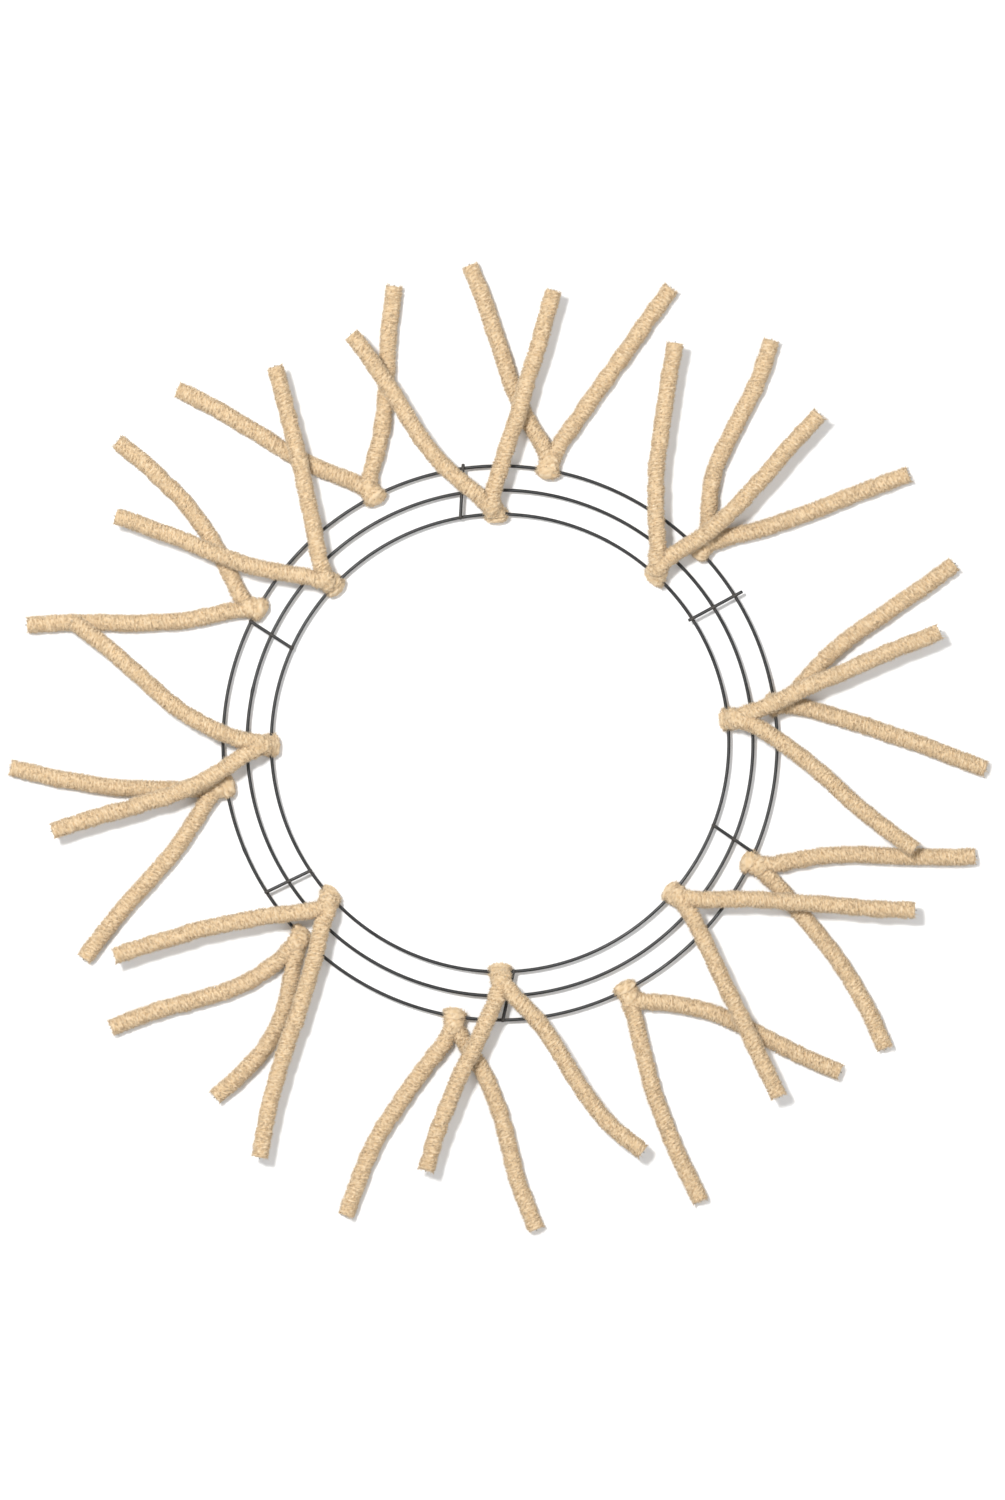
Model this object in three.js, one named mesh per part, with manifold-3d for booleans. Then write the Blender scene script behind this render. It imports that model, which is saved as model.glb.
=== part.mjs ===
// Wreath frame: three wire rings in one plane, six short wires welded across them, and eighteen
// chenille ties twisted onto the outer and the inner ring.
// Millimetres, +Z up. The frame lies on its back: the origin is at the rings' centre, on the
// surface that the fuzz rests on, and the ties' legs spread outward over that surface.
import * as THREE from 'three';
import { mergeVertices } from 'three/addons/utils/BufferGeometryUtils.js';
import Module from 'manifold-3d';

const wasm = await Module();
wasm.setup();

// Rings. The outer ring is 381 mm (15 in) over its outside.
const outerRingRadius = 189.4;
const ringPitch = 16.5;
const ringWireRadius = 1.15;
const ringSegments = 72;
const wireSides = 8;
const meshGap = 0.3;

// Ties. A chenille stem is a 1 mm wire with a 12 mm pile, folded round the ring and twisted.
const pileRadius = 6;
const coreRadius = 0.5;
const coreStickOut = 1.2;
const channelClearance = 0.4;
const strandOffset = 1.3;
const knotHalfWidth = 5.5;
const fuzzStep = 0.1;
const fuzzSides = 8;
const trunkLength = 9;
const loopClearance = 0.55;
const loopJoinShare = 0.8;
const trunkTwist = 0.75 * 2 * Math.PI;
const trunkTwistSteps = 4;
const loopWrap = (240 * Math.PI) / 180;
const loopSteps = 6;
const legSteps = 4;
const legStepBias = 1.5;
const coreSides = 4;

// Heights. The rings' wires lie at the middle of the fuzz, and the inner ties pass over the
// outer ones.
const ringHeight = pileRadius;
const layerGap = 0.8;
const crossHeight = ringHeight + 2 * ringWireRadius + meshGap;
const innerLegRise = 2 * pileRadius + layerGap;
const innerTrunkSlope = (50 * Math.PI) / 180;
const riseLength = 16;

const middleRingRadius = outerRingRadius - ringPitch;
const innerRingRadius = middleRingRadius - ringPitch;

const octagonFlat = Math.cos(Math.PI / fuzzSides);
const loopRadius = ringWireRadius + loopClearance + coreRadius;
const boreRadius = (loopRadius + coreRadius + meshGap) / octagonFlat;
const channelRadius = coreRadius + channelClearance;
const boreLength = 6 * pileRadius;

// Cross wires: the bearing of the outer and of the inner end, and how far each end runs past
// its ring.
const crossWires = [
  { outer: 97.5, inner: 100, pastOuter: 3, pastInner: 0.5 },
  { outer: 154, inner: 155.5, pastOuter: 0.5, pastInner: 0.5 },
  { outer: 212.5, inner: 214, pastOuter: 1, pastInner: 1 },
  { outer: 270.5, inner: 273.5, pastOuter: 1, pastInner: 1 },
  { outer: 336.5, inner: 339, pastOuter: 1, pastInner: 1 },
  { outer: 32, inner: 33, pastOuter: 6, pastInner: 3 },
];

// A leg of a tie: the bearing of its tip seen from the knot, counted anticlockwise from the
// line out of the centre, its reach from the knot to the tip, how far it bows to its left in
// the middle, and how far it sways to its left and back to its right.
function leg(turn, reach, bow, sway = 0) {
  return { turn: THREE.MathUtils.degToRad(turn), reach, bow, sway };
}

// A tie: its bearing on the ring, the lean of its twisted trunk, and the two legs. The ties are
// bent by hand, so no two of them lie alike.
const outerTies = [
  { at: 80, lean: 0, legs: [leg(31, 150, 4, 2), leg(-24, 150, 0)] },
  { at: 117, lean: 10, legs: [leg(34.5, 153, 3, 2), leg(-32.5, 144, -4, -2)] },
  { at: 151, lean: 20, legs: [leg(33, 158, 5, 2), leg(-21, 149, -11)] },
  { at: 189, lean: 0, legs: [leg(41.5, 153, 3, 2), leg(-14, 148, 6)] },
  { at: 224, lean: 20, legs: [leg(18, 125, 15), leg(-18, 144, 7, 3)] },
  { at: 260.5, lean: 10, legs: [leg(30.5, 156, 6, 3), leg(-19, 155, -8, 1)] },
  { at: 297, lean: 0, legs: [leg(42, 157, 9, 3), leg(-7.5, 153, -6)] },
  { at: 334.5, lean: 0, legs: [leg(27, 154, 5, 2), leg(-28.5, 157, 7, -1)] },
  { at: 44, lean: 0, legs: [leg(27, 152, 8, 4), leg(-24, 152, -3, -1)] },
  { at: 8, lean: 0, legs: [leg(30, 156, 6, 2), leg(-25, 151, 2)] },
];
const innerTies = [
  { at: 91, lean: 30, legs: [leg(38, 157, 7, 3), leg(-15.5, 157, -1)] },
  { at: 136.5, lean: 10, legs: [leg(26, 156, 5, 2), leg(-31.5, 154, -2)] },
  { at: 180.5, lean: 0, legs: [leg(21, 160, 8, 2), leg(-32.5, 159, 8, 3)] },
  { at: 222, lean: 30, legs: [leg(33, 184, -1, 2), leg(-26.5, 152, -5)] },
  { at: 270, lean: 10, legs: [leg(38.5, 156, -2, 4), leg(-20.5, 144, -3, 1)] },
  { at: 319, lean: 10, legs: [leg(37, 165, 2, 1), leg(-21.5, 156, 0)] },
  { at: 6, lean: 0, legs: [leg(16.5, 156, 1), leg(-41, 155, 2, 2)] },
  { at: 47, lean: 30, legs: [leg(38.5, 159, 6, 1), leg(-2.5, 156, -7, -2)] },
];

const frameBlack = { color: 0x17181a, roughness: 0.45, metalness: 0.4 };
const pileBeige = { color: 0xd6be9b, roughness: 0.95, metalness: 0 };
const coreSteel = { color: 0x8d8a84, roughness: 0.4, metalness: 1 };

// A path through points given in order, with one step of the sweep at each of them.
class PointPath extends THREE.Curve {
  constructor(points) {
    super();
    this.points = points;
    this.smooth = new THREE.CatmullRomCurve3(points, false, 'centripetal');
  }
  getPoint(t) {
    return this.smooth.getPoint(t);
  }
  getUtoTmapping(u) {
    return u;
  }
}

function polygon(sides, radius) {
  const corners = [];
  for (let i = 0; i < sides; i += 1) {
    const angle = ((i + 0.5) * 2 * Math.PI) / sides;
    corners.push(new THREE.Vector2(radius * Math.cos(angle), radius * Math.sin(angle)));
  }
  return new THREE.Shape(corners);
}

function sweep(points, sides, radius) {
  const options = { steps: points.length - 1, extrudePath: new PointPath(points) };
  return new THREE.ExtrudeGeometry(polygon(sides, radius), options);
}

function toManifold(geometry) {
  geometry.deleteAttribute('normal');
  geometry.deleteAttribute('uv');
  const merged = mergeVertices(geometry);
  const vertProperties = new Float32Array(merged.attributes.position.array);
  const triVerts = new Uint32Array(merged.index.array);
  return new wasm.Manifold(new wasm.Mesh({ numProp: 3, vertProperties, triVerts }));
}

function toGeometry(solid) {
  const mesh = solid.getMesh();
  const geometry = new THREE.BufferGeometry();
  geometry.setAttribute('position', new THREE.BufferAttribute(mesh.vertProperties, 3));
  geometry.setIndex(new THREE.BufferAttribute(mesh.triVerts, 1));
  return geometry;
}

// A ring of wire: an octagon with flats above, below, inside and outside, turned about +Z.
function ringGeometry(radius) {
  const profile = [];
  for (let i = 0; i <= wireSides; i += 1) {
    const angle = ((i % wireSides) + 0.5) * ((2 * Math.PI) / wireSides);
    const across = radius + ringWireRadius * Math.cos(angle);
    profile.push(new THREE.Vector2(across, ringWireRadius * Math.sin(angle)));
  }
  const halfSegment = Math.PI / ringSegments;
  const ring = new THREE.LatheGeometry(profile, ringSegments, halfSegment, 2 * Math.PI);
  ring.rotateX(Math.PI / 2);
  ring.translate(0, 0, ringHeight);
  return ring;
}

function onPlan(radius, bearing, height) {
  const angle = THREE.MathUtils.degToRad(bearing);
  return new THREE.Vector3(radius * Math.cos(angle), radius * Math.sin(angle), height);
}

function crossWireGeometry(wire) {
  const start = onPlan(innerRingRadius - wire.pastInner, wire.inner, crossHeight);
  const end = onPlan(outerRingRadius + wire.pastOuter, wire.outer, crossHeight);
  return sweep([start, end], wireSides, ringWireRadius);
}

// The trunk's own axes, in the tie's frame: x out from the rings' centre, y anticlockwise
// along the ring and z up, with the ring's wire at the origin.
function trunkAxes(tie, slope, rise) {
  const lean = THREE.MathUtils.degToRad(tie.lean);
  const climb = Math.min(trunkLength * Math.tan(slope), rise);
  const end = new THREE.Vector3(trunkLength * Math.cos(lean), trunkLength * Math.sin(lean), climb);
  const along = end.clone().normalize();
  const side = new THREE.Vector3(-Math.sin(lean), Math.cos(lean), 0);
  const over = along.clone().cross(side);
  return { end, along, side, over };
}

// Points along a leg from the end of the trunk to a little beyond the tip, closer together
// near the trunk.
function legPoints(shape, start, rise, beyond) {
  const tip = new THREE.Vector3(Math.cos(shape.turn), Math.sin(shape.turn), 0);
  tip.multiplyScalar(shape.reach);
  const chord = new THREE.Vector3(tip.x - start.x, tip.y - start.y, 0);
  const left = new THREE.Vector3(-chord.y, chord.x, 0).normalize();
  const points = [];
  for (let i = 0; i <= legSteps; i += 1) {
    const s = (i / legSteps) ** legStepBias;
    const aside = shape.bow * Math.sin(Math.PI * s) + shape.sway * Math.sin(2 * Math.PI * s);
    const climb = THREE.MathUtils.smoothstep(s * chord.length(), 0, riseLength);
    const point = start.clone().addScaledVector(chord, s).addScaledVector(left, aside);
    point.z = start.z + (rise - start.z) * climb;
    points.push(point);
  }
  const last = points[legSteps];
  last.addScaledVector(last.clone().sub(points[legSteps - 1]).normalize(), beyond);
  return points;
}

// One strand of the trunk: it leaves the loop above (way 1) or below (way -1) the trunk's axis
// and winds round the axis to its own leg.
function strandPoints(axes, way) {
  const points = [];
  const length = axes.end.length();
  const first = loopJoinShare * loopRadius;
  for (let i = 0; i <= trunkTwistSteps; i += 1) {
    const part = i / trunkTwistSteps;
    const angle = Math.PI / 2 + trunkTwist * part;
    const point = axes.along.clone().multiplyScalar(first + (length - first) * part);
    point.addScaledVector(axes.side, way * strandOffset * Math.cos(angle));
    point.addScaledVector(axes.over, way * strandOffset * Math.sin(angle));
    points.push(point);
  }
  return points;
}

// The loop round the ring's wire, from above the trunk's axis, past the inside, to below it.
function loopPoints(axes) {
  const outward = new THREE.Vector3(axes.along.x, 0, axes.along.z).normalize();
  const upward = new THREE.Vector3(-outward.z, 0, outward.x);
  const points = [];
  for (let i = 0; i <= loopSteps; i += 1) {
    const angle = Math.PI - loopWrap / 2 + (loopWrap * i) / loopSteps;
    const point = outward.clone().multiplyScalar(loopRadius * Math.cos(angle));
    points.push(point.addScaledVector(upward, loopRadius * Math.sin(angle)));
  }
  return points;
}

// One half of a tie's core wire, from the loop out to the tip of leg 0 or leg 1.
function halfPoints(tie, axes, rise, beyond, which) {
  const strand = strandPoints(axes, which === 0 ? 1 : -1);
  return strand.concat(legPoints(tie.legs[which], axes.end, rise, beyond).slice(1));
}

// The whole core wire: in along one leg, round the ring and out along the other.
function coreGeometry(tie, slope, rise) {
  const axes = trunkAxes(tie, slope, rise);
  const inward = halfPoints(tie, axes, rise, coreStickOut, 0).reverse();
  const outward = halfPoints(tie, axes, rise, coreStickOut, 1);
  return sweep(inward.concat(loopPoints(axes), outward), coreSides, coreRadius);
}

// The corner radius of an octagon of fuzz. The legs, the trunk and the knot are each a step
// thinner than the one before, so that no two of them share a plane where they meet.
function fuzzCorner(order) {
  return (pileRadius - fuzzStep * order) / octagonFlat;
}

// The knot of fuzz round the ring's wire: a barrel on the line of the ring.
function knotGeometry() {
  const corner = fuzzCorner(3);
  const profile = [
    new THREE.Vector2(0, -knotHalfWidth),
    new THREE.Vector2(corner, -knotHalfWidth),
    new THREE.Vector2(corner, knotHalfWidth),
    new THREE.Vector2(0, knotHalfWidth),
  ];
  return new THREE.LatheGeometry(profile, fuzzSides, Math.PI / fuzzSides, 2 * Math.PI);
}

// The fuzz of a tie: knot, trunk and legs in one, hollow where the ring and the core run.
function pileGeometry(tie, slope, rise) {
  const axes = trunkAxes(tie, slope, rise);
  const trunk = toManifold(sweep([new THREE.Vector3(), axes.end], fuzzSides, fuzzCorner(2)));
  const bore = new THREE.CylinderGeometry(boreRadius, boreRadius, boreLength, fuzzSides);
  let fuzz = toManifold(knotGeometry()).add(trunk);
  tie.legs.forEach((shape, order) => {
    const points = legPoints(shape, axes.end, rise, 0);
    fuzz = fuzz.add(toManifold(sweep(points, fuzzSides, fuzzCorner(order))));
  });
  fuzz = fuzz.subtract(toManifold(bore));
  tie.legs.forEach((shape, which) => {
    const channel = sweep(halfPoints(tie, axes, rise, pileRadius, which), coreSides, channelRadius);
    fuzz = fuzz.subtract(toManifold(channel));
  });
  return toGeometry(fuzz);
}

function placeOnRing(geometry, radius, bearing) {
  geometry.rotateZ(THREE.MathUtils.degToRad(bearing));
  const knot = onPlan(radius, bearing, ringHeight);
  geometry.translate(knot.x, knot.y, knot.z);
  return geometry;
}

const frame = new THREE.Group();

function addPiece(name, geometry, finish) {
  const piece = new THREE.Mesh(geometry, new THREE.MeshStandardMaterial(finish));
  piece.name = name;
  frame.add(piece);
}

function addTies(ties, name, ringRadius, slope, rise) {
  ties.forEach((tie, i) => {
    const pile = placeOnRing(pileGeometry(tie, slope, rise), ringRadius, tie.at);
    const core = placeOnRing(coreGeometry(tie, slope, rise), ringRadius, tie.at);
    addPiece(`${name}_tie_pile_${i + 1}`, pile, pileBeige);
    addPiece(`${name}_tie_wire_${i + 1}`, core, coreSteel);
  });
}

addPiece('outer_ring', ringGeometry(outerRingRadius), frameBlack);
addPiece('middle_ring', ringGeometry(middleRingRadius), frameBlack);
addPiece('inner_ring', ringGeometry(innerRingRadius), frameBlack);
crossWires.forEach((wire, i) => {
  addPiece(`cross_wire_${i + 1}`, crossWireGeometry(wire), frameBlack);
});
addTies(outerTies, 'outer', outerRingRadius, 0, 0);
addTies(innerTies, 'inner', innerRingRadius, innerTrunkSlope, innerLegRise);

export default frame;
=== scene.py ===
import math

import bpy
import numpy as np
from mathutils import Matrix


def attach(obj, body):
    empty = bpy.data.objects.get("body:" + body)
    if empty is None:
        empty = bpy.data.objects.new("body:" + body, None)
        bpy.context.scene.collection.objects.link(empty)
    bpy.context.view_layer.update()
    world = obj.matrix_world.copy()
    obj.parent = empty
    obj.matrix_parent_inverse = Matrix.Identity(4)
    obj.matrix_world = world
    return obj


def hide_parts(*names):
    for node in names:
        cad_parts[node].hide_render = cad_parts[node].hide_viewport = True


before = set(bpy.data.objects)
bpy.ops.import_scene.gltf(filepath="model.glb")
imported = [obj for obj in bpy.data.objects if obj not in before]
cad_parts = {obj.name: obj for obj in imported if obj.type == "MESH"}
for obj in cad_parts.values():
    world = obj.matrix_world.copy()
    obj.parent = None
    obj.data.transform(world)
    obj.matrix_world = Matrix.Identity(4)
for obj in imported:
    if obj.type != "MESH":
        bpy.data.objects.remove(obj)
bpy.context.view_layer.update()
mm = 0.001

# sizes of the frame, as the CAD has them
ringSizes = {
    "outer_ring": 189.4 * mm,
    "middle_ring": 172.9 * mm,
    "inner_ring": 156.4 * mm,
}
wireRadius = 1.15 * mm
ringHeight = 6 * mm
crossHeight = 8.6 * mm

# camera and light: straight down, with the top of the picture towards +Y
stage = {
    "lens": 150,
    "sensor": 36,
    "framed": 1026.9 * mm,  # what the long side of the picture takes in
    "centre": (1.7 * mm, -4.8 * mm),
    "floorSize": 30,
}
lamps = {
    "key": {"from": (-0.75, 0.68, 2.8), "size": 0.4, "watts": 80},
    "fill": {"from": (1.6, -0.9, 2.6), "size": 2.2, "watts": 18},
}
skyStrength = 0.56


# sRGB hex to the linear colour that Blender works in
def colour(code):
    parts = [int(code[i : i + 2], 16) / 255 for i in (1, 3, 5)]
    return [p / 12.92 if p <= 0.04045 else ((p + 0.055) / 1.055) ** 2.4 for p in parts] + [1]


# adds one node: inputs are plain values or the sockets that feed it, stops are a ramp's colours
def addNode(tree, kind, inputs=None, stops=None, **settings):
    node = tree.nodes.new(kind)
    for name, value in settings.items():
        setattr(node, name, value)
    for name, value in (inputs or {}).items():
        if isinstance(value, bpy.types.NodeSocket):
            tree.links.new(value, node.inputs[name])
        else:
            node.inputs[name].default_value = value
    for i, (place, code) in enumerate(stops or []):
        ramp = node.color_ramp.elements
        stop = ramp[i] if i < 2 else ramp.new(place)
        stop.position, stop.color = place, colour(code)
    return node


def newMaterial(name):
    material = bpy.data.materials.new(name)
    material.use_nodes = True
    material.node_tree.nodes.clear()
    return material, material.node_tree


# Ring and cross wire: drawn mild steel in thin black lacquer. The lacquer is near black and
# satin, so each wire shows one soft line of light, broken a little where the coat is uneven.
def blackLacquer():
    material, tree = newMaterial("blackLacqueredSteelWire")
    place = addNode(tree, "ShaderNodeTexCoord").outputs["Object"]
    heat = addNode(tree, "ShaderNodeAttribute", attribute_name="weldHeat").outputs["Fac"]
    flow = addNode(tree, "ShaderNodeUVMap", uv_map="alongWire").outputs["UV"]
    # the coat's thickness wanders over about 9 mm
    coat = addNode(tree, "ShaderNodeTexNoise", {"Vector": place, "Scale": 110, "Detail": 4})
    # drawing lines run along the wire, 0.12 mm apart and about 12 mm long
    drawn = addNode(tree, "ShaderNodeMapping", {"Vector": flow, "Scale": (80, 8000, 1)})
    lines = addNode(tree, "ShaderNodeTexNoise", {"Vector": drawn.outputs[0], "Scale": 1, "Detail": 2})
    # specks of dust and pinholes, 0.6 mm
    specks = addNode(tree, "ShaderNodeTexNoise", {"Vector": place, "Scale": 1700, "Detail": 1})
    tint = addNode(
        tree, "ShaderNodeValToRGB", {"Fac": coat.outputs["Fac"]},
        [(0.3, "#0e0f10"), (0.7, "#1c1d1f")],
    )
    # the coat burns brown-grey at each weld
    scorched = addNode(
        tree, "ShaderNodeMix",
        {0: heat, 6: tint.outputs["Color"], 7: colour("#3b3733")}, data_type="RGBA",
    )
    dull = addNode(
        tree, "ShaderNodeMapRange",
        {"Value": coat.outputs["Fac"], "From Min": 0.3, "From Max": 0.7, "To Min": 0.3, "To Max": 0.5},
    )
    duller = addNode(
        tree, "ShaderNodeMath", {0: heat, 1: 0.25, 2: dull.outputs[0]}, operation="MULTIPLY_ADD"
    )
    rough = addNode(
        tree, "ShaderNodeMath", {0: lines.outputs["Fac"], 1: specks.outputs["Fac"]}, operation="ADD"
    )
    bump = addNode(
        tree, "ShaderNodeBump", {"Strength": 0.35, "Distance": 0.05 * mm, "Height": rough.outputs[0]}
    )
    shader = addNode(
        tree, "ShaderNodeBsdfPrincipled",
        {
            "Base Color": scorched.outputs[2],
            "Roughness": duller.outputs[0],
            "Normal": bump.outputs[0],
            "IOR": 1.5,
        },
    )
    addNode(tree, "ShaderNodeOutputMaterial", {"Surface": shader.outputs[0]})
    return material


# Chenille pile: cut viscose yarn held between two wires. It has no gloss of its own, only the
# pale rim that loose fibres give. Colour runs along each fibre from a dark root to a pale tip,
# which is painted shade deep in the pile, and one fibre differs a little from the next.
def chenillePile():
    material, tree = newMaterial("beigeChenillePile")
    spot = addNode(tree, "ShaderNodeUVMap", uv_map="OFBake").outputs["UV"]
    parts = addNode(tree, "ShaderNodeSeparateXYZ", {"Vector": spot})
    # painted shade: darkest at the fibre roots and on the body inside the pile, pale at the tips
    depthShade = addNode(
        tree, "ShaderNodeValToRGB", {"Fac": parts.outputs["X"]},
        [(0.0, "#8d7454"), (1.0, "#f3e9d8"), (0.35, "#c2a783"), (0.7, "#dccab0")],
    )
    dye = addNode(
        tree, "ShaderNodeValToRGB", {"Fac": parts.outputs["Y"]},
        [(0.0, "#c9a87c"), (1.0, "#efe1c6"), (0.5, "#dfc7a2")],
    )
    both = addNode(
        tree, "ShaderNodeMix",
        {0: 0.45, 6: depthShade.outputs["Color"], 7: dye.outputs["Color"]}, data_type="RGBA",
    )
    shader = addNode(
        tree, "ShaderNodeBsdfPrincipled",
        {
            "Base Color": both.outputs[2],
            "Roughness": 0.95,
            "Specular IOR Level": 0.15,
            "Sheen Weight": 0.35,
            "Sheen Roughness": 0.5,
            "Sheen Tint": colour("#fff0da"),
        },
    )
    addNode(tree, "ShaderNodeOutputMaterial", {"Surface": shader.outputs[0]})
    return material


# The stem's core: bright zinc-coated iron wire, two strands twisted. Only its cut ends show,
# as small pale glints.
def galvanisedCore():
    material, tree = newMaterial("galvanisedCoreWire")
    place = addNode(tree, "ShaderNodeTexCoord").outputs["Object"]
    # zinc flowers are about 0.8 mm on wire this thin
    zinc = addNode(tree, "ShaderNodeTexVoronoi", {"Vector": place, "Scale": 1200})
    tint = addNode(
        tree, "ShaderNodeValToRGB", {"Fac": zinc.outputs["Distance"]},
        [(0.0, "#8f8d88"), (1.0, "#b9b7b1")],
    )
    dull = addNode(
        tree, "ShaderNodeMapRange", {"Value": zinc.outputs["Distance"], "To Min": 0.28, "To Max": 0.45}
    )
    bump = addNode(
        tree, "ShaderNodeBump",
        {"Strength": 0.3, "Distance": 0.03 * mm, "Height": zinc.outputs["Distance"]},
    )
    shader = addNode(
        tree, "ShaderNodeBsdfPrincipled",
        {
            "Base Color": tint.outputs["Color"],
            "Metallic": 1,
            "Roughness": dull.outputs[0],
            "Normal": bump.outputs[0],
        },
    )
    addNode(tree, "ShaderNodeOutputMaterial", {"Surface": shader.outputs[0]})
    return material


# The floor: matt white board, plain
def whiteBoard():
    material, tree = newMaterial("mattWhiteBoard")
    shader = addNode(
        tree, "ShaderNodeBsdfPrincipled",
        {"Base Color": colour("#f2f2f2"), "Roughness": 0.9, "Specular IOR Level": 0.2},
    )
    addNode(tree, "ShaderNodeOutputMaterial", {"Surface": shader.outputs[0]})
    return material


# puts whole arrays into a mesh: points, triangles or quads, one uv for each point
def newPiece(name, points, faces, material, uv=None, uvName=None, values=None):
    mesh = bpy.data.meshes.new(name)
    sides = faces.shape[1]
    mesh.vertices.add(len(points))
    mesh.vertices.foreach_set("co", points.astype(np.float32).ravel())
    mesh.loops.add(faces.size)
    mesh.loops.foreach_set("vertex_index", faces.astype(np.int32).ravel())
    mesh.polygons.add(len(faces))
    mesh.polygons.foreach_set("loop_start", np.arange(0, faces.size, sides, dtype=np.int32))
    mesh.polygons.foreach_set("use_smooth", np.ones(len(faces), bool))
    if uv is not None:
        layer = mesh.uv_layers.new(name=uvName)
        layer.uv.foreach_set("vector", uv[faces.ravel()].astype(np.float32).ravel())
    for key, amounts in (values or {}).items():
        mesh.attributes.new(key, "FLOAT", "POINT").data.foreach_set("value", amounts.astype(np.float32))
    mesh.update(calc_edges=True)
    mesh.validate()
    mesh.materials.append(material)
    piece = bpy.data.objects.new(name, mesh)
    bpy.context.scene.collection.objects.link(piece)
    return piece


def unit(v):
    return v / np.maximum(np.linalg.norm(v, axis=-1, keepdims=True), 1e-12)


# Splits each square of a grid of rows into two triangles. The columns close on themselves,
# and the rows do too if ringed is true.
def gridFaces(rows, columns, ringed):
    i = np.arange(rows if ringed else rows - 1)[:, None]
    j = np.arange(columns)[None, :]
    a = i * columns + j
    b = i * columns + (j + 1) % columns
    c = (i + 1) % rows * columns + (j + 1) % columns
    d = (i + 1) % rows * columns + j
    first = np.stack([a, b, c], -1).reshape(-1, 3)
    second = np.stack([a, c, d], -1).reshape(-1, 3)
    return np.concatenate([first, second])


# Closes one end of a tube with a fan from a middle point, facing out
def capFaces(row, columns, middle, turned):
    j = np.arange(columns)
    near, far = row * columns + j, row * columns + (j + 1) % columns
    fan = np.stack([np.full(columns, middle), far, near], -1)
    return fan[:, ::-1] if turned else fan


# For each point of a line, the direction along it and two directions across it. The first
# across lies as near to guide as it can.
def axesAlong(line, guide):
    along = unit(np.gradient(line, axis=0))
    across = unit(guide - (along @ guide)[:, None] * along)
    return along, across, np.cross(along, across)


# A tube: each point of the line carries a circle of its own radius
def tube(line, radius, sides, guide):
    along, across, over = axesAlong(line, guide)
    turn = 2 * np.pi * np.arange(sides) / sides
    spoke = across[:, None] * np.cos(turn)[None, :, None] + over[:, None] * np.sin(turn)[None, :, None]
    skin = line[:, None] + spoke * np.broadcast_to(radius, (len(line),))[:, None, None]
    points = np.concatenate([skin.reshape(-1, 3), line[:1], line[-1:]])
    rows = len(line)
    faces = np.concatenate([
        gridFaces(rows, sides, False),
        capFaces(0, sides, rows * sides, False),
        capFaces(rows - 1, sides, rows * sides + 1, True),
    ])
    length = np.concatenate([[0], np.cumsum(np.linalg.norm(np.diff(line, axis=0), axis=1))])
    uv = np.stack(np.broadcast_arrays(length[:, None], (turn * wireRadius)[None]), -1).reshape(-1, 2)
    uv = np.concatenate([uv, [[length[0], 0], [length[-1], 0]]])
    return points, faces, uv


# joins several lots of points and faces into one
def joined(lots):
    starts = np.cumsum([0] + [len(points) for points, *_ in lots])
    points = np.concatenate([lot[0] for lot in lots])
    faces = np.concatenate([lot[1] + start for lot, start in zip(lots, starts)])
    uv = np.concatenate([lot[2] for lot in lots])
    return points, faces, uv


print("camera, floor and light")
floorMesh = bpy.data.meshes.new("floor")
half = stage["floorSize"] / 2
floorMesh.from_pydata(
    [(-half, -half, 0), (half, -half, 0), (half, half, 0), (-half, half, 0)], [], [(0, 1, 2, 3)]
)
floorMesh.materials.append(whiteBoard())
floor = bpy.data.objects.new("floor", floorMesh)
bpy.context.scene.collection.objects.link(floor)

camera = bpy.data.objects.new("camera", bpy.data.cameras.new("camera"))
camera.data.lens, camera.data.sensor_width = stage["lens"], stage["sensor"]
camera.data.clip_end = 100
away = stage["framed"] * stage["lens"] / stage["sensor"]
camera.location = (*stage["centre"], away)
bpy.context.scene.collection.objects.link(camera)
bpy.context.scene.camera = camera

for name, lamp in lamps.items():
    light = bpy.data.lights.new(name, "AREA")
    light.shape, light.size, light.energy = "DISK", lamp["size"], lamp["watts"]
    holder = bpy.data.objects.new(name, light)
    holder.location = lamp["from"]
    direction = bpy.context.scene.camera.location.copy()
    direction.xyz = [-c for c in lamp["from"]]
    holder.rotation_euler = direction.to_track_quat("-Z", "Y").to_euler()
    holder.visible_camera = False
    bpy.context.scene.collection.objects.link(holder)
sky = bpy.data.worlds.new("sky")
sky.use_nodes = True
sky.node_tree.nodes["Background"].inputs["Color"].default_value = (1, 1, 1, 1)
sky.node_tree.nodes["Background"].inputs["Strength"].default_value = skyStrength
bpy.context.scene.world = sky
bpy.context.scene.view_settings.view_transform = "Standard"

print("rings and cross wires")
lacquer = blackLacquer()
ringShape = {
    "around": 20,  # sides of the wire
    "along": 300,  # steps round the ring
    "joint": {"outer_ring": 203, "middle_ring": 168, "inner_ring": 62},  # bearing of its butt weld
    "bead": 0.22 * mm,  # how far the butt weld stands up
    "beadLength": 2.2 * mm,
}
crossShape = {
    "around": 20,
    "step": 0.5 * mm,
    "weldHeat": 5 * mm,  # how far from a weld the coat is burnt
    "endRound": 0.5 * mm,
    # bearings of the outer and the inner end, and how far each runs past its ring
    "wires": [
        (97.5, 100, 3, 0.5),
        (154, 155.5, 0.5, 0.5),
        (212.5, 214, 1, 1),
        (270.5, 273.5, 1, 1),
        (336.5, 339, 1, 1),
        (32, 33, 6, 3),
    ],
}


def onPlan(radius, bearing, depthShade):
    angle = np.radians(bearing)
    return np.array([radius * np.cos(angle), radius * np.sin(angle), depthShade])


# where a cross wire's line meets a ring, found from the straight line's distance to the centre
def meetsRing(start, end, radius):
    d = (end - start)[:2]
    a, b, c = d @ d, 2 * start[:2] @ d, start[:2] @ start[:2] - radius**2
    s = (-b + math.sqrt(b * b - 4 * a * c)) / (2 * a)
    return start + (end - start) * s


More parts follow.
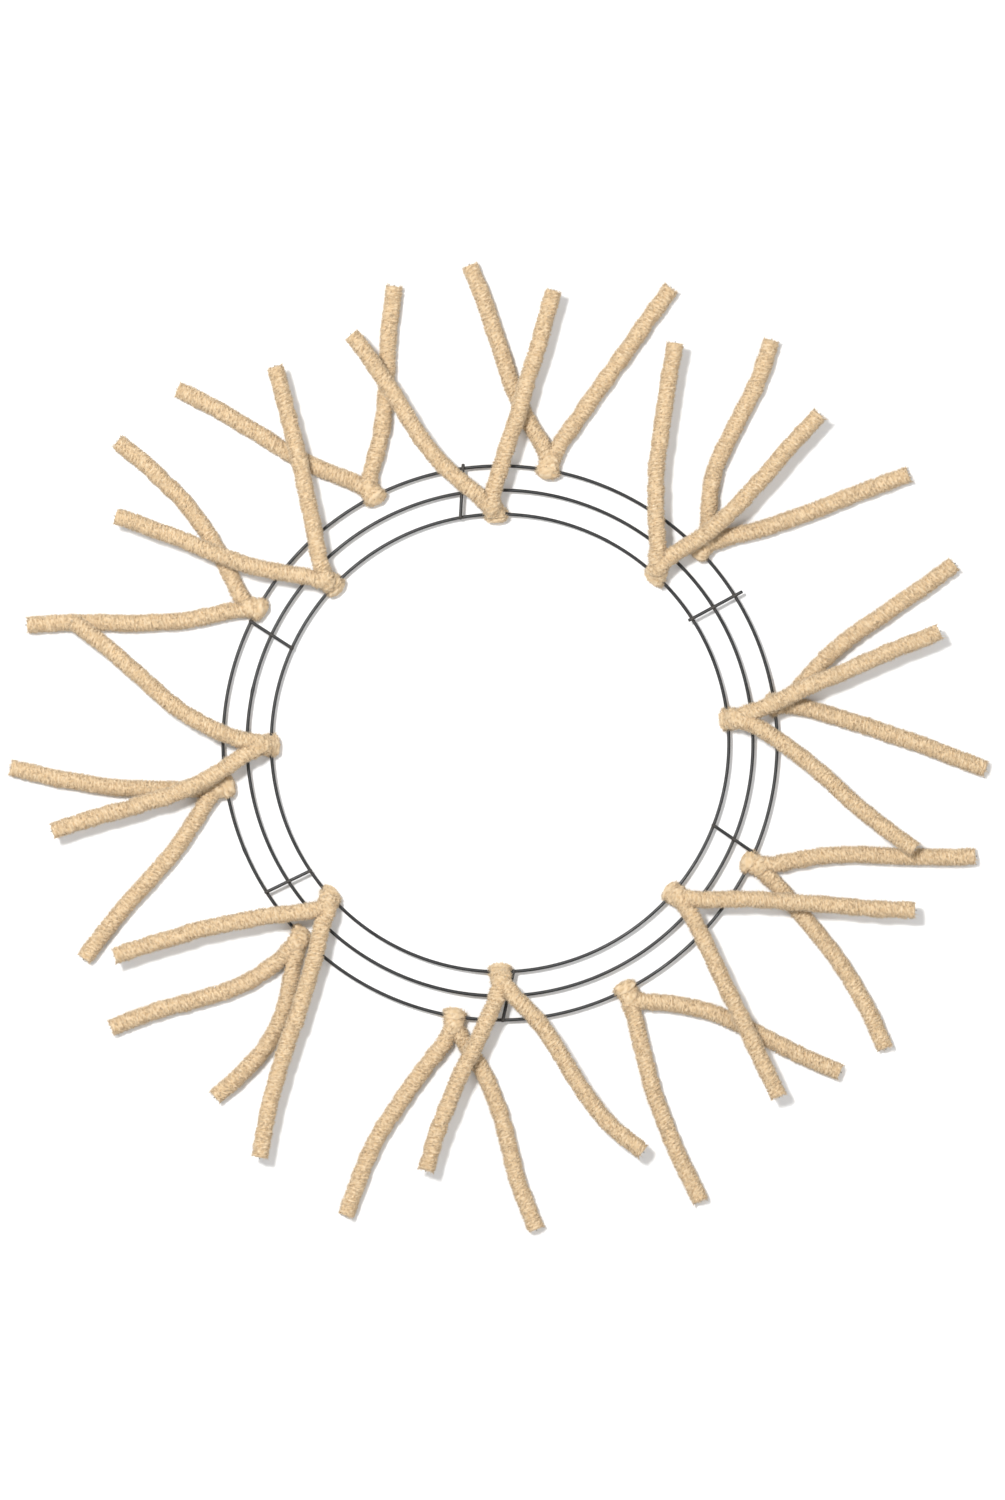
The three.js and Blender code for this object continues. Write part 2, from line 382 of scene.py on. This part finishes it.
crossLines = []
for outer, inner, pastOuter, pastInner in crossShape["wires"]:
    start = onPlan(ringSizes["inner_ring"] - pastInner * mm, inner, crossHeight)
    end = onPlan(ringSizes["outer_ring"] + pastOuter * mm, outer, crossHeight)
    crossLines.append((start, end, [meetsRing(start, end, r) for r in ringSizes.values()]))
welds = np.array([spot for line in crossLines for spot in line[2]])


# how much each point has been heated: 1 at a weld, fading out over weldHeat
def heatAt(points):
    flat = points.copy()
    flat[:, 2] = crossHeight
    gap = np.linalg.norm(flat[:, None] - welds[None], axis=2).min(1)
    return np.clip(1 - gap / crossShape["weldHeat"], 0, 1) ** 1.5


# A ring: a circle of wire carried round a circle, with a low bead where its two ends are
# welded together.
def makeRing(name, radius):
    rows, sides = ringShape["along"], ringShape["around"]
    at = 2 * np.pi * np.arange(rows) / rows
    turn = 2 * np.pi * np.arange(sides) / sides
    joint = math.radians(ringShape["joint"][name])
    gap = np.abs((at - joint + np.pi) % (2 * np.pi) - np.pi) * radius
    bead = ringShape["bead"] * np.exp(-((gap / ringShape["beadLength"]) ** 2) * 4)
    wire = wireRadius + bead[:, None] * (1 + 0.3 * np.cos(3 * turn)[None])
    across = radius + wire * np.cos(turn)[None]
    points = np.stack([
        across * np.cos(at)[:, None],
        across * np.sin(at)[:, None],
        ringHeight + wire * np.sin(turn)[None],
    ], -1).reshape(-1, 3)
    uv = np.stack(np.broadcast_arrays((at * radius)[:, None], (turn * wireRadius)[None]), -1)
    piece = newPiece(
        name + "_wire", points, gridFaces(rows, sides, True), lacquer,
        uv.reshape(-1, 2), "alongWire", {"weldHeat": heatAt(points)},
    )
    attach(piece, "frame")
    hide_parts(name)


for name, radius in ringSizes.items():
    makeRing(name, radius)


lumpShape = {"rows": 9, "sides": 14, "radius": 1.5 * mm, "halfHeight": 0.75 * mm}


# A weld: a low cushion of steel squeezed out between the two wires, a ball pressed flat
def weldLump(spot, along):
    rows, sides = lumpShape["rows"], lumpShape["sides"]
    radius, halfHeight = lumpShape["radius"], lumpShape["halfHeight"]
    lat = np.linspace(-np.pi / 2, np.pi / 2, rows)[:, None]
    lon = (2 * np.pi * np.arange(sides) / sides)[None]
    side = np.cross([0, 0, 1], along)
    x, y = radius * np.cos(lat) * np.cos(lon), radius * np.cos(lat) * np.sin(lon)
    z = halfHeight * np.sin(lat) + 0 * lon
    points = x[..., None] * along + y[..., None] * side + z[..., None] * np.array([0, 0, 1.0])
    middle = spot - [0, 0, (crossHeight - ringHeight) / 2]
    points = (points + middle).reshape(-1, 3)
    return points, gridFaces(rows, sides, False), np.zeros((len(points), 2))


# A cross wire: a straight cut length, its ends rounded by the shears, with a weld lump at each
# ring that it crosses.
def makeCrossWire(number, start, end, spots):
    length = np.linalg.norm(end - start)
    along = (end - start) / length
    s = np.linspace(0, 1, int(length / crossShape["step"]))
    line = start + (end - start) * s[:, None]
    fromEnd = np.minimum(s, 1 - s) * length
    cut = (1 - fromEnd / crossShape["endRound"]).clip(0, 1)
    radius = wireRadius * np.sqrt(np.clip(1 - cut ** 2 * 0.6, 0, 1))
    lots = [tube(line, radius, crossShape["around"], np.array([0, 0, 1.0]))]
    lots += [weldLump(spot, along) for spot in spots]
    points, faces, uv = joined(lots)
    piece = newPiece(
        f"cross_wire_{number}_welded", points, faces, lacquer, uv, "alongWire",
        {"weldHeat": heatAt(points)},
    )
    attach(piece, "frame")
    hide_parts(f"cross_wire_{number}")


for number, (start, end, spots) in enumerate(crossLines, 1):
    makeCrossWire(number, start, end, spots)

print("chenille ties")
pile = chenillePile()
core = galvanisedCore()
stem = {
    "radius": 6 * mm,
    "bodyShare": 0.85,  # how much of the radius is packed fibre
    "bodyRidge": 0.035,  # how far the spiral rows stand up from it, and how rough it is
    "bodyRough": 0.14,
    "bodySides": 24,
    "lineStep": 0.55 * mm,
    "fibres": 17000,
    "fibreWidth": 0.42 * mm,  # a fibre is 0.05 mm; drawn as a lock wide enough to show
    "fibreRoot": 0.72,  # where a fibre leaves the body, as a share of its reach
    "fibreLean": (0.7, 0.55),  # along the stem and round it
    "twistPitch": 5.5 * mm,  # the core's twist lays the pile in two spiral rows
    "rowSpread": 0.6,  # radians
    "inRows": 0.65,  # share of the fibres that stand in the two rows
    "wander": 0.25 * mm,
    "lumps": 0.018,  # share of the radius
    "endFan": 0.9 * mm,  # how far the pile fans out past a cut end
    "outerSeed": 100,
    "innerSeed": 200,
}
trunkShape = {
    "length": 9 * mm,
    "strandOffset": 1.9 * mm,
    "twist": 0.75 * 2 * np.pi,
    "loopRadius": 2.2 * mm,
    "loopJoin": 0.8,
    "loopWrap": np.radians(240),
    "wireRoom": 1.45 * mm,  # how near the pile comes to the middle of the ring's wire
    "pile": 1.02,  # share of the pile's radius where the strands press together
    "loopPile": 0.88,
    "innerSlope": math.radians(50),  # the inner ties' trunks climb over the outer ties' legs
    "fade": 12 * mm,  # how far into a leg the trunk's twist dies away
}
coreShape = {"radius": 0.27 * mm, "pitch": 5 * mm, "sides": 6, "step": 0.8 * mm, "stickOut": 1.2 * mm}
innerRise = 12.8 * mm
riseLength = 16 * mm

# A tie: bearing on its ring, lean of the twisted trunk, and for each leg the bearing of its tip,
# its reach, its bow and its sway.
outerTies = [
    (80, 0, (31, 150, 4, 2), (-24, 150, 0, 0)),
    (117, 10, (34.5, 153, 3, 2), (-32.5, 144, -4, -2)),
    (151, 20, (33, 158, 5, 2), (-21, 149, -11, 0)),
    (189, 0, (41.5, 153, 3, 2), (-14, 148, 6, 0)),
    (224, 20, (18, 125, 15, 0), (-18, 144, 7, 3)),
    (260.5, 10, (30.5, 156, 6, 3), (-19, 155, -8, 1)),
    (297, 0, (42, 157, 9, 3), (-7.5, 153, -6, 0)),
    (334.5, 0, (27, 154, 5, 2), (-28.5, 157, 7, -1)),
    (44, 0, (27, 152, 8, 4), (-24, 152, -3, -1)),
    (8, 0, (30, 156, 6, 2), (-25, 151, 2, 0)),
]
innerTies = [
    (91, 30, (38, 157, 7, 3), (-15.5, 157, -1, 0)),
    (136.5, 10, (26, 156, 5, 2), (-31.5, 154, -2, 0)),
    (180.5, 0, (21, 160, 8, 2), (-32.5, 159, 8, 3)),
    (222, 30, (33, 184, -1, 2), (-26.5, 152, -5, 0)),
    (270, 10, (38.5, 156, -2, 4), (-20.5, 144, -3, 1)),
    (319, 10, (37, 165, 2, 1), (-21.5, 156, 0, 0)),
    (6, 0, (16.5, 156, 1, 0), (-41, 155, 2, 2)),
    (47, 30, (38.5, 159, 6, 1), (-2.5, 156, -7, -2)),
]


def smooth(x):
    x = np.clip(x, 0, 1)
    return x * x * (3 - 2 * x)


# The middle line of a leg, from the end of the trunk to the tip: the straight line between
# them, set aside by one half wave (bow) and one whole wave (sway), and lifted to its height
# over the first 16 mm.
def legLine(shape, trunkEnd, rise):
    turn, reach, bow, sway = math.radians(shape[0]), shape[1] * mm, shape[2] * mm, shape[3] * mm
    tip = np.array([reach * math.cos(turn), reach * math.sin(turn), 0])
    chord = tip - trunkEnd * [1, 1, 0]
    left = unit(np.array([-chord[1], chord[0], 0]))
    s = np.linspace(0, 1, 300)[:, None]
    line = trunkEnd + chord * s + left * (bow * np.sin(np.pi * s) + sway * np.sin(2 * np.pi * s))
    climb = smooth(s[:, 0] * np.linalg.norm(chord) / riseLength)
    line[:, 2] = trunkEnd[2] + (rise - trunkEnd[2]) * climb
    return line


# One half of a stem, from the loop to the tip: a helix round the trunk's axis, then the leg,
# which keeps the helix's offset for a little way.
def halfLine(trunkEnd, axes, shape, rise, way):
    along, side, over = axes
    first = trunkShape["loopJoin"] * trunkShape["loopRadius"]
    u = np.linspace(0, 1, 40)[:, None]
    angle = np.pi / 2 + trunkShape["twist"] * u
    offset = way * trunkShape["strandOffset"] * (side * np.cos(angle) + over * np.sin(angle))
    strand = along * (first + (np.linalg.norm(trunkEnd) - first) * u) + offset
    leg = legLine(shape, trunkEnd, rise)
    gone = np.linalg.norm(leg - trunkEnd, axis=1)[:, None]
    leg = leg + offset[-1] * (1 - smooth(gone / trunkShape["fade"]))
    return np.concatenate([strand, leg[1:]])


# even steps along a line
def evenSteps(line, step):
    length = np.concatenate([[0], np.cumsum(np.linalg.norm(np.diff(line, axis=0), axis=1))])
    at = np.linspace(0, length[-1], max(2, int(length[-1] / step)) + 1)
    return np.stack([np.interp(at, length, line[:, k]) for k in range(3)], -1), at


# The middle line of a whole stem, tip to tip, in the tie's own frame: x out of the ring, y
# along it, z up, and the ring's wire at the origin. nearLoop is 1 at the loop, 0 on the legs.
def stemLine(tie, slope, rise, rng):
    bearing, lean, *legs = tie
    lean, trunkLength = math.radians(lean), trunkShape["length"]
    climb = min(trunkLength * math.tan(slope), rise)
    trunkEnd = np.array([trunkLength * math.cos(lean), trunkLength * math.sin(lean), climb])
    along = unit(trunkEnd)
    side = np.array([-math.sin(lean), math.cos(lean), 0])
    axes = (along, side, np.cross(along, side))
    outward = unit(np.array([along[0], 0, along[2]]))
    upward = np.array([-outward[2], 0, outward[0]])
    angle = np.pi + trunkShape["loopWrap"] * np.linspace(-0.5, 0.5, 40)[:, None]
    loop = trunkShape["loopRadius"] * (outward * np.cos(angle) + upward * np.sin(angle))
    halves = [halfLine(trunkEnd, axes, legs[k], rise, 1 - 2 * k) for k in (0, 1)]
    line, at = evenSteps(np.concatenate([halves[0][::-1], loop, halves[1]]), stem["lineStep"])
    middle = at[np.argmin(np.linalg.norm(line - loop[20], axis=1))]
    nearLoop = 1 - smooth((np.abs(at - middle) - 4 * mm) / (4 * mm))
    # rounds off the bends outside the loop over about 5 mm
    weight = np.hanning(13)[1:-1]
    padded = np.pad(line, ((5, 5), (0, 0)), "reflect", reflect_type="odd")
    eased = np.stack([np.convolve(padded[:, k], weight / weight.sum(), "valid") for k in range(3)], -1)
    line = eased + (line - eased) * nearLoop[:, None]
    # the slow wander of a stem that has been handled
    fromMiddle = np.abs(at - middle)
    amount = stem["wander"] * smooth((fromMiddle - 20 * mm) / (30 * mm)) * smooth((at[-1] - at) / (20 * mm))
    wave = sum(
        np.sin(2 * np.pi * at / rng.uniform(24 * mm, 60 * mm) + rng.uniform(0, 6.3)) for _ in range(3)
    )
    line[:, 1] += amount * wave / 2
    trunk = 1 - smooth((fromMiddle - trunkLength - 3 * mm) / (6 * mm))
    return line, at, nearLoop, trunk


# How far the pile reaches at each place of the line: the full radius with soft lumps on the
# legs, less in the trunk and least on the loop.
def pileReach(at, nearLoop, trunk, rng):
    lumps = sum(
        np.sin(2 * np.pi * at / rng.uniform(7 * mm, 22 * mm) + rng.uniform(0, 6.3)) for _ in range(4)
    )
    reach = stem["radius"] * (1 + stem["lumps"] * lumps)
    reach = reach * (1 + (trunkShape["pile"] - 1) * trunk)
    return reach * (1 + (trunkShape["loopPile"] / trunkShape["pile"] - 1) * nearLoop)


# Turns spokes of the stem into offsets. Towards the inside of a tight bend they stop short of
# the ring's wire, and on the loop they spread along the ring.
def spread(spokes, reach, nearLoop, bendWay, room):
    offset = spokes * reach[..., None]
    inward = np.sum(offset * bendWay, -1)
    limit = np.maximum(room - trunkShape["wireRoom"], 0.3 * mm)
    offset = offset - bendWay * np.maximum(inward - limit, 0)[..., None]
    return offset * (1 + nearLoop[..., None] * np.array([-0.12, 0.6, 0]))


def turned(points, bearing, ringRadius):
    angle = math.radians(bearing)
    c, s = math.cos(angle), math.sin(angle)
    placed = points @ np.array([[c, s, 0], [-s, c, 0], [0, 0, 1.0]])
    return placed + [ringRadius * c, ringRadius * s, ringHeight]


# the angle of the first spiral row at each place along the stem
def rowAngle(at):
    return 2 * np.pi * at / stem["twistPitch"]


# The middle of the pile: the line carries a circle that stands up a little at the two
# spiral rows and is rough all over
def bodySkin(line, at, reach, nearLoop, bendWay, room, rng):
    along, across, over = axesAlong(line, np.array([0, 1.0, 0]))
    rows, sides = len(line), stem["bodySides"]
    turn = 2 * np.pi * np.arange(sides) / sides
    spoke = across[:, None] * np.cos(turn)[None, :, None] + over[:, None] * np.sin(turn)[None, :, None]
    fromEnd = np.minimum(at, at[-1] - at)
    blunt = np.sqrt(np.clip(1 - (1 - fromEnd / (1.2 * mm)).clip(0, 1) ** 2 * 0.75, 0, 1))
    ridge = np.cos(2 * (turn[None] - rowAngle(at)[:, None])) * stem["bodyRidge"]
    rough = rng.uniform(-1, 1, (rows, sides)) * stem["bodyRough"]
    size = (reach * blunt)[:, None] * (stem["bodyShare"] + ridge + rough)
    offset = spread(spoke, size, nearLoop[:, None], bendWay[:, None], room[:, None])
    skin = line[:, None] + offset
    points = np.concatenate([skin.reshape(-1, 3), line[:1], line[-1:]])
    faces = np.concatenate([
        gridFaces(rows, sides, False),
        capFaces(0, sides, rows * sides, False),
        capFaces(rows - 1, sides, rows * sides + 1, True),
    ])
    # painted shade: the body inside the pile is coloured darker than the fibre tips, and darker still in
    # the hollows between its ridges; its end caps are dark too
    depthShade = ((ridge + rough) / (stem["bodyRidge"] + stem["bodyRough"])).ravel()
    toneWithShade = np.concatenate([0.35 + 0.25 * depthShade, [0.2, 0.2]])
    dye = 0.5 + 0.2 * rng.standard_normal(len(points))
    return points, faces, np.stack([toneWithShade, dye.clip(0.03, 0.97)], -1)


# The loose fibres: each is a thin three-sided spike from inside the body to the pile's reach,
# leaning along and round the stem. Most stand in the two spiral rows.
def fibreSpikes(line, at, reach, nearLoop, bendWay, room, rng):
    count = stem["fibres"]
    s = (np.arange(count) + rng.random(count)) / count * at[-1]
    spot = np.clip(np.searchsorted(at, s), 0, len(at) - 1)
    along, across, over = (a[spot] for a in axesAlong(line, np.array([0, 1.0, 0])))
    row = rowAngle(s) + np.pi * rng.integers(0, 2, count) + stem["rowSpread"] * rng.standard_normal(count)
    turn = np.where(rng.random(count) < stem["inRows"], row, rng.uniform(0, 2 * np.pi, count))
    spoke = across * np.cos(turn)[:, None] + over * np.sin(turn)[:, None]
    round_ = np.cross(along, spoke)
    length = reach[spot] * (1.06 + 0.06 * rng.standard_normal(count)).clip(0.9, 1.2)
    leans = rng.standard_normal((2, count, 1))
    root = line[spot] + spread(
        spoke, length * stem["fibreRoot"], nearLoop[spot], bendWay[spot], room[spot]
    )
    end = line[spot] + spread(spoke, length, nearLoop[spot], bendWay[spot], room[spot])
    tall = np.linalg.norm(end - root, axis=1)[:, None]
    end = end + tall * (stem["fibreLean"][0] * leans[0] * along + stem["fibreLean"][1] * leans[1] * round_)
    # at a cut end the pile fans out a little past the core
    fromEnd = np.minimum(s, at[-1] - s)
    outward = np.where(s < at[-1] / 2, -1, 1)[:, None] * along
    end = end + outward * (stem["endFan"] * (1 - smooth(fromEnd / (3 * mm))))[:, None]
    aim = unit(end - root)
    sideways = unit(np.cross(aim, along + 1e-6))
    upward = np.cross(aim, sideways)
    width = stem["fibreWidth"] * rng.uniform(0.7, 1.25, count)[:, None] / 2
    corners = [
        root + width * (sideways * math.cos(a) + upward * math.sin(a))
        for a in (0, 2 * math.pi / 3, 4 * math.pi / 3)
    ]
    points = np.stack([*corners, end], 1).reshape(-1, 3)
    start = 4 * np.arange(count)[:, None]
    pattern = np.array([[0, 1, 3], [1, 2, 3], [2, 0, 3], [0, 2, 1]])
    faces = (start[:, None] + pattern[None]).reshape(-1, 3)
    # painted shade: each fibre is coloured dark at its root, deep in the pile, and pale at its tip, with a
    # random lightness of its own on top
    randomTone = rng.random(count)
    shadedRootTone, tipTone = 0.12 + 0.25 * randomTone, 0.62 + 0.38 * randomTone
    toneWithShade = np.stack([shadedRootTone, shadedRootTone, shadedRootTone, tipTone], 1)
    dye = (0.5 + 0.22 * rng.standard_normal(count)).clip(0.03, 0.97)[:, None]
    dye = dye + np.array([-0.02, 0.02, 0, 0])
    return points, faces, np.stack([toneWithShade, dye], -1).reshape(-1, 2)


# Two thin wires twisted together down the middle of the stem, standing a little out of the
# pile at each cut end.
def coreWires(line, at):
    ends = [
        line[:1] - unit(line[1] - line[0]) * coreShape["stickOut"],
        line[-1:] + unit(line[-1] - line[-2]) * coreShape["stickOut"],
    ]
    line, at = evenSteps(np.concatenate([ends[0], line, ends[1]]), coreShape["step"])
    along, across, over = axesAlong(line, np.array([0, 1.0, 0]))
    turn = 2 * np.pi * at / coreShape["pitch"]
    lots = []
    for way in (1, -1):
        aside = across * np.cos(turn)[:, None] + over * np.sin(turn)[:, None]
        lots.append(
            tube(line + way * coreShape["radius"] * aside, coreShape["radius"], coreShape["sides"],
                 np.array([0, 1.0, 0]))
        )
    return joined(lots)


def makeTie(name, tie, ringRadius, slope, rise, seed):
    rng = np.random.default_rng(seed)
    line, at, nearLoop, trunk = stemLine(tie, slope, rise, rng)
    reach = pileReach(at, nearLoop, trunk, rng)
    bend = np.gradient(unit(np.gradient(line, axis=0)), at, axis=0)
    tightness = np.linalg.norm(bend, axis=1)
    bendWay, room = unit(bend), 1 / np.maximum(tightness, 1)
    lots = [
        maker(line, at, reach, nearLoop, bendWay, room, rng) for maker in (bodySkin, fibreSpikes)
    ]
    points, faces, uv = joined(lots)
    points = turned(points, tie[0], ringRadius)
    points[:, 2] = np.maximum(points[:, 2], 0.15 * mm)  # pressed flat where it lies on a table
    number = name.rsplit("_", 1)[1]
    family = name.rsplit("_", 1)[0]
    fuzz = newPiece(f"{family}_chenille_{number}", points, faces, pile, uv, "OFBake")
    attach(fuzz, name)
    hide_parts(f"{family}_pile_{number}")
    points, faces, uv = coreWires(line, at)
    wire = newPiece(
        f"{family}_core_{number}", turned(points, tie[0], ringRadius), faces, core, uv, "alongWire"
    )
    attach(wire, name)
    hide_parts(f"{family}_wire_{number}")


for number, tie in enumerate(outerTies, 1):
    makeTie(f"outer_tie_{number}", tie, ringSizes["outer_ring"], 0, 0, stem["outerSeed"] + number)
for number, tie in enumerate(innerTies, 1):
    makeTie(
        f"inner_tie_{number}", tie, ringSizes["inner_ring"], trunkShape["innerSlope"], innerRise,
        stem["innerSeed"] + number,
    )
